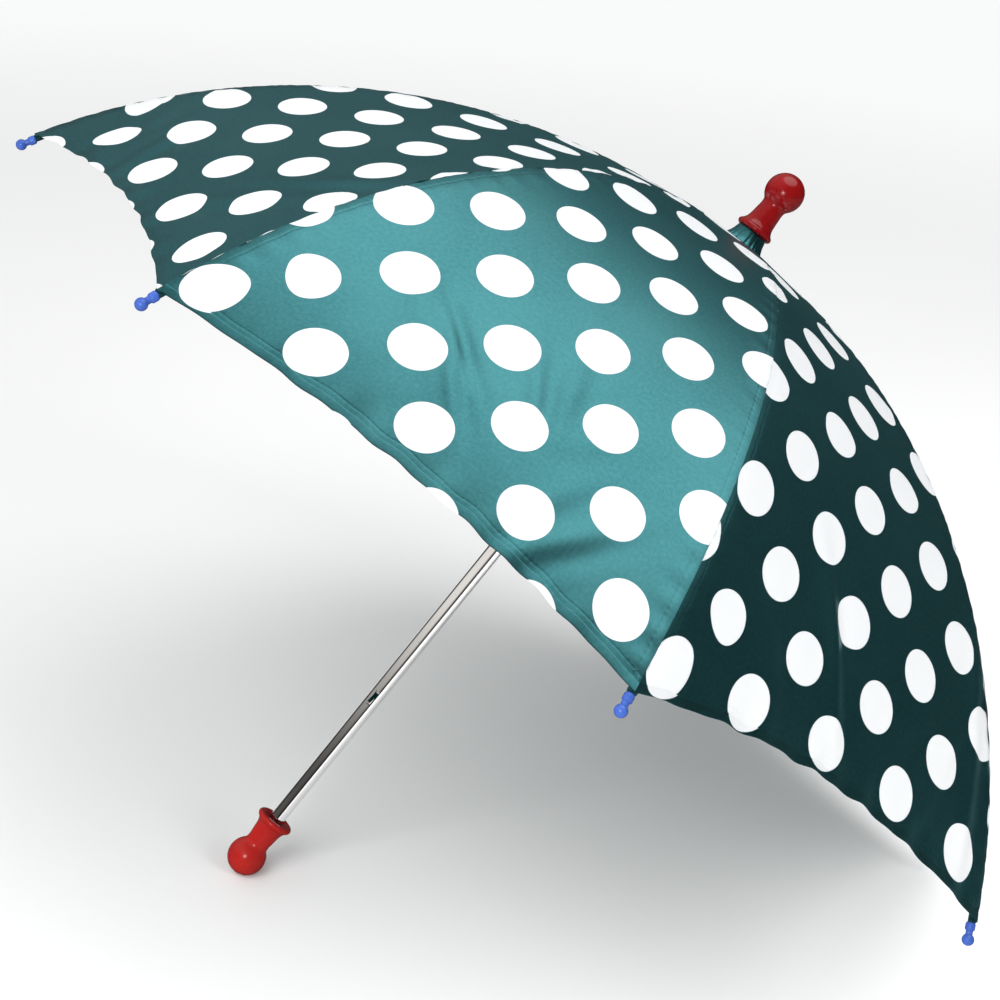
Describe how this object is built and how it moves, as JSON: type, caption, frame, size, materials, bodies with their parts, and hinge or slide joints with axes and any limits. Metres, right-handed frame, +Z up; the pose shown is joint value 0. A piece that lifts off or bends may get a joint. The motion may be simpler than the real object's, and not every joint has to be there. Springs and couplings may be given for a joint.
{
  "type": "children's umbrella",
  "caption": "Small dome umbrella with a polka-dot cloth canopy on folding steel ribs, a chrome shaft with a sliding runner and spring catches, and waisted end knobs.",
  "frame": {"origin": "foot of the handle knob, on the shaft axis", "axes": "+Z up the shaft towards the finial, +X along rib 1"},
  "size_m": [0.6084, 0.6084, 0.4535],
  "materials": {
    "canopy_cloth": "satin",
    "knob_plastic": "polished",
    "tip_plastic": "polished",
    "hub_plastic": "moulded",
    "tube_chrome": "plated",
    "rib_steel": "zinc plated",
    "catch_steel": "spring steel",
    "wire_steel": "zinc plated"
  },
  "bodies": {
    "shaft": {"shaft_tube": "tube_chrome", "handle_knob": "knob_plastic", "finial_knob": "knob_plastic", "crown": "hub_plastic", "crown_ring_wire": "wire_steel", "cross_pins": "wire_steel", "rosette": "canopy_cloth"},
    "runner": {"runner": "hub_plastic", "runner_ring_wire": "wire_steel"},
    "upper_catch": {"upper_catch": "catch_steel"},
    "lower_catch": {"lower_catch": "catch_steel"},
    "rib_1": {"rib_inner_1": "rib_steel", "stretcher_rivet_1": "wire_steel", "canopy_panel_1": "canopy_cloth"},
    "rib_end_1": {"rib_outer_1": "rib_steel", "rib_tip_1": "tip_plastic"},
    "stretcher_1": {"stretcher_1": "rib_steel"},
    "rib_2": {"rib_inner_2": "rib_steel", "stretcher_rivet_2": "wire_steel", "canopy_panel_2": "canopy_cloth"},
    "rib_end_2": {"rib_outer_2": "rib_steel", "rib_tip_2": "tip_plastic"},
    "stretcher_2": {"stretcher_2": "rib_steel"},
    "rib_3": {"rib_inner_3": "rib_steel", "stretcher_rivet_3": "wire_steel", "canopy_panel_3": "canopy_cloth"},
    "rib_end_3": {"rib_outer_3": "rib_steel", "rib_tip_3": "tip_plastic"},
    "stretcher_3": {"stretcher_3": "rib_steel"},
    "rib_4": {"rib_inner_4": "rib_steel", "stretcher_rivet_4": "wire_steel", "canopy_panel_4": "canopy_cloth"},
    "rib_end_4": {"rib_outer_4": "rib_steel", "rib_tip_4": "tip_plastic"},
    "stretcher_4": {"stretcher_4": "rib_steel"},
    "rib_5": {"rib_inner_5": "rib_steel", "stretcher_rivet_5": "wire_steel", "canopy_panel_5": "canopy_cloth"},
    "rib_end_5": {"rib_outer_5": "rib_steel", "rib_tip_5": "tip_plastic"},
    "stretcher_5": {"stretcher_5": "rib_steel"},
    "rib_6": {"rib_inner_6": "rib_steel", "stretcher_rivet_6": "wire_steel", "canopy_panel_6": "canopy_cloth"},
    "rib_end_6": {"rib_outer_6": "rib_steel", "rib_tip_6": "tip_plastic"},
    "stretcher_6": {"stretcher_6": "rib_steel"},
    "rib_7": {"rib_inner_7": "rib_steel", "stretcher_rivet_7": "wire_steel", "canopy_panel_7": "canopy_cloth"},
    "rib_end_7": {"rib_outer_7": "rib_steel", "rib_tip_7": "tip_plastic"},
    "stretcher_7": {"stretcher_7": "rib_steel"},
    "rib_8": {"rib_inner_8": "rib_steel", "stretcher_rivet_8": "wire_steel", "canopy_panel_8": "canopy_cloth"},
    "rib_end_8": {"rib_outer_8": "rib_steel", "rib_tip_8": "tip_plastic"},
    "stretcher_8": {"stretcher_8": "rib_steel"}
  },
  "joints": [
    {"name": "canopy_fold", "type": "hinge", "parent": "shaft", "child": "rib_1", "pos_m": [0.008, 0, 0.40731], "axis": [0, 1, 0], "range_deg": [0, 72.92], "deforming": ["canopy_panel_1", "canopy_panel_2", "canopy_panel_3", "canopy_panel_4", "canopy_panel_5", "canopy_panel_6", "canopy_panel_7", "canopy_panel_8", "upper_catch", "lower_catch"]},
    {"name": "rib_1_flex", "type": "hinge", "parent": "rib_1", "child": "rib_end_1", "pos_m": [0.14437, 0, 0.37562], "axis": [0, 1, 0], "range_deg": [-24.36, 0]},
    {"name": "stretcher_1_swing", "type": "hinge", "parent": "rib_1", "child": "stretcher_1", "pos_m": [0.14437, 0, 0.37562], "axis": [0, 1, 0], "range_deg": [-145.94, 0]},
    {"name": "runner_slide_pivot", "type": "hinge", "parent": "stretcher_1", "child": "runner", "pos_m": [0.008, 0, 0.34394], "axis": [0, 1, 0], "range_deg": [0, 72.97]},
    {"name": "rib_2_fold", "type": "hinge", "parent": "shaft", "child": "rib_2", "pos_m": [0.00566, 0.00566, 0.40731], "axis": [-0.7071, 0.7071, 0], "range_deg": [0, 72.92]},
    {"name": "rib_2_flex", "type": "hinge", "parent": "rib_2", "child": "rib_end_2", "pos_m": [0.10208, 0.10208, 0.37562], "axis": [-0.7071, 0.7071, 0], "range_deg": [-24.36, 0]},
    {"name": "stretcher_2_swing", "type": "hinge", "parent": "rib_2", "child": "stretcher_2", "pos_m": [0.10208, 0.10208, 0.37562], "axis": [-0.7071, 0.7071, 0], "range_deg": [-145.94, 0]},
    {"name": "rib_3_fold", "type": "hinge", "parent": "shaft", "child": "rib_3", "pos_m": [0, 0.008, 0.40731], "axis": [-1, 0, 0], "range_deg": [0, 72.92]},
    {"name": "rib_3_flex", "type": "hinge", "parent": "rib_3", "child": "rib_end_3", "pos_m": [0, 0.14437, 0.37562], "axis": [-1, 0, 0], "range_deg": [-24.36, 0]},
    {"name": "stretcher_3_swing", "type": "hinge", "parent": "rib_3", "child": "stretcher_3", "pos_m": [0, 0.14437, 0.37562], "axis": [-1, 0, 0], "range_deg": [-145.94, 0]},
    {"name": "rib_4_fold", "type": "hinge", "parent": "shaft", "child": "rib_4", "pos_m": [-0.00566, 0.00566, 0.40731], "axis": [-0.7071, -0.7071, 0], "range_deg": [0, 72.92]},
    {"name": "rib_4_flex", "type": "hinge", "parent": "rib_4", "child": "rib_end_4", "pos_m": [-0.10208, 0.10208, 0.37562], "axis": [-0.7071, -0.7071, 0], "range_deg": [-24.36, 0]},
    {"name": "stretcher_4_swing", "type": "hinge", "parent": "rib_4", "child": "stretcher_4", "pos_m": [-0.10208, 0.10208, 0.37562], "axis": [-0.7071, -0.7071, 0], "range_deg": [-145.94, 0]},
    {"name": "rib_5_fold", "type": "hinge", "parent": "shaft", "child": "rib_5", "pos_m": [-0.008, 0, 0.40731], "axis": [0, -1, 0], "range_deg": [0, 72.92]},
    {"name": "rib_5_flex", "type": "hinge", "parent": "rib_5", "child": "rib_end_5", "pos_m": [-0.14437, 0, 0.37562], "axis": [0, -1, 0], "range_deg": [-24.36, 0]},
    {"name": "stretcher_5_swing", "type": "hinge", "parent": "rib_5", "child": "stretcher_5", "pos_m": [-0.14437, 0, 0.37562], "axis": [0, -1, 0], "range_deg": [-145.94, 0]},
    {"name": "rib_6_fold", "type": "hinge", "parent": "shaft", "child": "rib_6", "pos_m": [-0.00566, -0.00566, 0.40731], "axis": [0.7071, -0.7071, 0], "range_deg": [0, 72.92]},
    {"name": "rib_6_flex", "type": "hinge", "parent": "rib_6", "child": "rib_end_6", "pos_m": [-0.10208, -0.10208, 0.37562], "axis": [0.7071, -0.7071, 0], "range_deg": [-24.36, 0]},
    {"name": "stretcher_6_swing", "type": "hinge", "parent": "rib_6", "child": "stretcher_6", "pos_m": [-0.10208, -0.10208, 0.37562], "axis": [0.7071, -0.7071, 0], "range_deg": [-145.94, 0]},
    {"name": "rib_7_fold", "type": "hinge", "parent": "shaft", "child": "rib_7", "pos_m": [0, -0.008, 0.40731], "axis": [1, 0, 0], "range_deg": [0, 72.92]},
    {"name": "rib_7_flex", "type": "hinge", "parent": "rib_7", "child": "rib_end_7", "pos_m": [0, -0.14437, 0.37562], "axis": [1, 0, 0], "range_deg": [-24.36, 0]},
    {"name": "stretcher_7_swing", "type": "hinge", "parent": "rib_7", "child": "stretcher_7", "pos_m": [0, -0.14437, 0.37562], "axis": [1, 0, 0], "range_deg": [-145.94, 0]},
    {"name": "rib_8_fold", "type": "hinge", "parent": "shaft", "child": "rib_8", "pos_m": [0.00566, -0.00566, 0.40731], "axis": [0.7071, 0.7071, 0], "range_deg": [0, 72.92]},
    {"name": "rib_8_flex", "type": "hinge", "parent": "rib_8", "child": "rib_end_8", "pos_m": [0.10208, -0.10208, 0.37562], "axis": [0.7071, 0.7071, 0], "range_deg": [-24.36, 0]},
    {"name": "stretcher_8_swing", "type": "hinge", "parent": "rib_8", "child": "stretcher_8", "pos_m": [0.10208, -0.10208, 0.37562], "axis": [0.7071, 0.7071, 0], "range_deg": [-145.94, 0]},
    {"name": "upper_catch_press", "type": "hinge", "parent": "shaft", "child": "upper_catch", "pos_m": [0.00077, 0.00185, 0.29764], "axis": [0.9239, -0.3827, 0], "range_deg": [0, 8], "stiffness_Nm_per_rad": 0.02},
    {"name": "lower_catch_press", "type": "hinge", "parent": "shaft", "child": "lower_catch", "pos_m": [0.00077, 0.00185, 0.13699], "axis": [-0.9239, 0.3827, 0], "range_deg": [0, 8], "stiffness_Nm_per_rad": 0.02}
  ],
  "couplings": [
    {"joint": "runner_slide_pivot", "follows": "canopy_fold", "ratio": 1},
    {"joint": "rib_1_flex", "follows": "canopy_fold", "ratio": -0.33333},
    {"joint": "stretcher_1_swing", "follows": "canopy_fold", "ratio": -2},
    {"joint": "rib_2_fold", "follows": "canopy_fold", "ratio": 1},
    {"joint": "rib_2_flex", "follows": "canopy_fold", "ratio": -0.33333},
    {"joint": "stretcher_2_swing", "follows": "canopy_fold", "ratio": -2},
    {"joint": "rib_3_fold", "follows": "canopy_fold", "ratio": 1},
    {"joint": "rib_3_flex", "follows": "canopy_fold", "ratio": -0.33333},
    {"joint": "stretcher_3_swing", "follows": "canopy_fold", "ratio": -2},
    {"joint": "rib_4_fold", "follows": "canopy_fold", "ratio": 1},
    {"joint": "rib_4_flex", "follows": "canopy_fold", "ratio": -0.33333},
    {"joint": "stretcher_4_swing", "follows": "canopy_fold", "ratio": -2},
    {"joint": "rib_5_fold", "follows": "canopy_fold", "ratio": 1},
    {"joint": "rib_5_flex", "follows": "canopy_fold", "ratio": -0.33333},
    {"joint": "stretcher_5_swing", "follows": "canopy_fold", "ratio": -2},
    {"joint": "rib_6_fold", "follows": "canopy_fold", "ratio": 1},
    {"joint": "rib_6_flex", "follows": "canopy_fold", "ratio": -0.33333},
    {"joint": "stretcher_6_swing", "follows": "canopy_fold", "ratio": -2},
    {"joint": "rib_7_fold", "follows": "canopy_fold", "ratio": 1},
    {"joint": "rib_7_flex", "follows": "canopy_fold", "ratio": -0.33333},
    {"joint": "stretcher_7_swing", "follows": "canopy_fold", "ratio": -2},
    {"joint": "rib_8_fold", "follows": "canopy_fold", "ratio": 1},
    {"joint": "rib_8_flex", "follows": "canopy_fold", "ratio": -0.33333},
    {"joint": "stretcher_8_swing", "follows": "canopy_fold", "ratio": -2}
  ]
}
